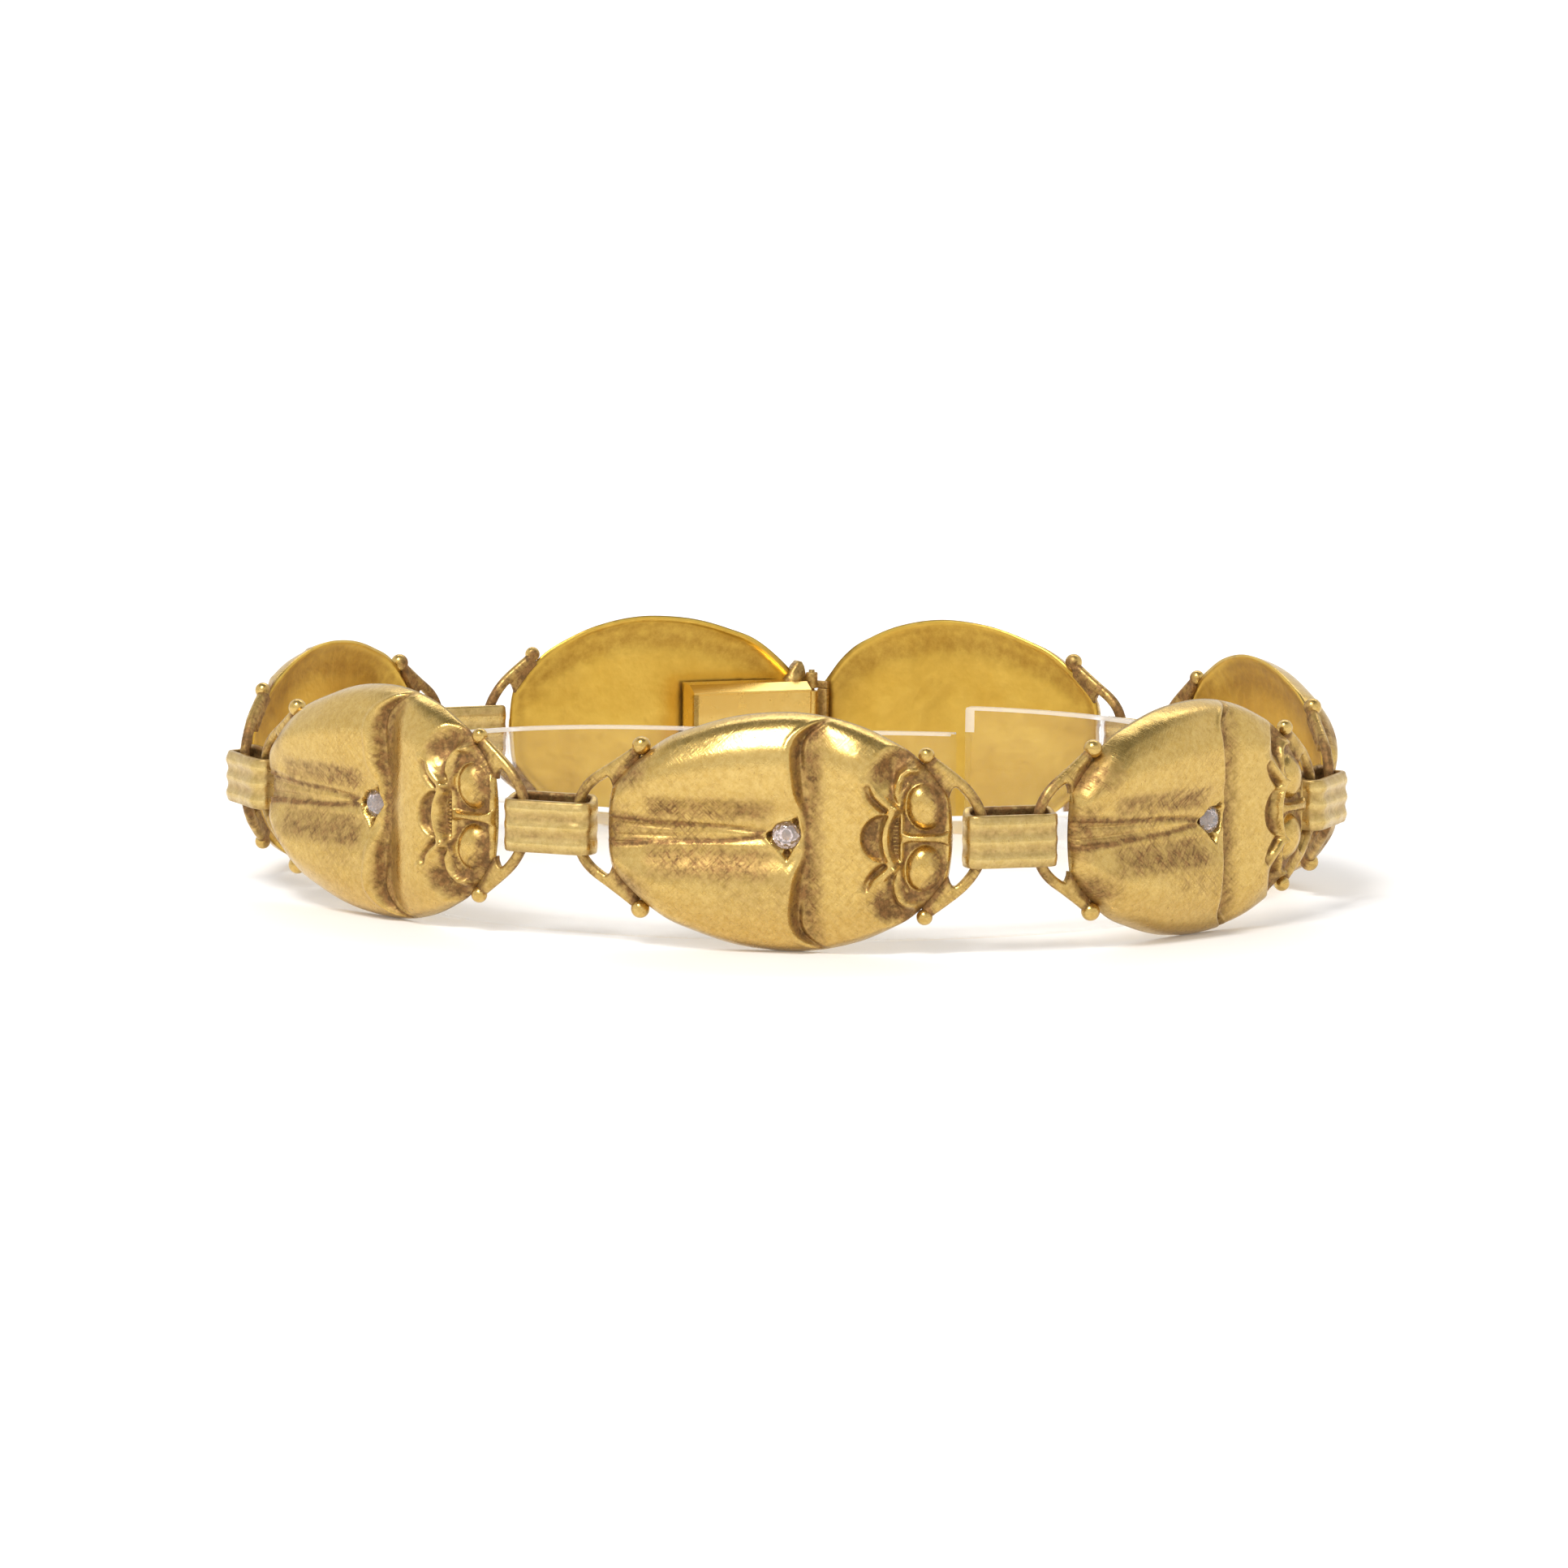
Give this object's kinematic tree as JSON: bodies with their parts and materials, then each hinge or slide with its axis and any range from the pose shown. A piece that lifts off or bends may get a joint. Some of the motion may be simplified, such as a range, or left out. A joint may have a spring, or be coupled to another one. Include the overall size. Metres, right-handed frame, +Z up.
{
  "type": "scarab link bracelet on a clear display band",
  "caption": "Chain bracelet of hollow gold beetle links, each set with a small diamond and joined by fluted sleeves, standing round a split band of clear plastic that holds it open.",
  "frame": {"origin": "centre of the whole ring, in the plane that the band and the links stand on", "axes": "+Z up along the axis of the ring, +X to the right of the front link, -Y towards the viewer"},
  "size_m": [0.0632, 0.0544, 0.0129],
  "materials": {
    "gold": "satin, brushed",
    "diamond": "polished, faceted",
    "clear_plastic": "clear, glossy"
  },
  "bodies": {
    "root": {"clasp_tongue": "gold", "clear_band": "clear_plastic", "connector_1": "gold", "connector_2": "gold", "connector_3": "gold", "connector_4": "gold", "connector_5": "gold", "connector_6": "gold", "diamond_back_left": "diamond", "diamond_back_right": "diamond", "diamond_front_centre": "diamond", "diamond_front_left": "diamond", "diamond_front_right": "diamond", "diamond_left": "diamond", "diamond_right": "diamond", "scarab_back_left": "gold", "scarab_back_right": "gold", "scarab_front_centre": "gold", "scarab_front_left": "gold", "scarab_front_right": "gold", "scarab_left": "gold", "scarab_right": "gold"}
  },
  "joints": []
}
